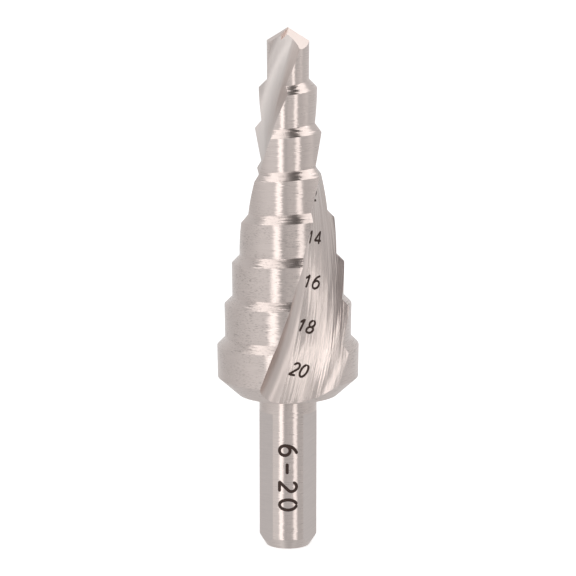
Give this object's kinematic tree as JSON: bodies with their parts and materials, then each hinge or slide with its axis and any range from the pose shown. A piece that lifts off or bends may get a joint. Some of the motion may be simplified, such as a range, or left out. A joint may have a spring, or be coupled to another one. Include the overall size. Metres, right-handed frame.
{
  "type": "step drill",
  "caption": "Stepped conical drill with two spiral flutes, a split point, relieved 45 degree step faces and a three-flat shank.",
  "frame": {"origin": "centre of the flat shank end, on the drill's axis", "axes": "+Z along the drill's axis from the shank end to the point; -Y faces the viewer, with one driving flat at the back on +Y"},
  "size_m": [0.0198, 0.0196, 0.0728],
  "materials": {
    "steel": "ground bright steel"
  },
  "bodies": {
    "root": {"step_drill": "steel"}
  },
  "joints": []
}
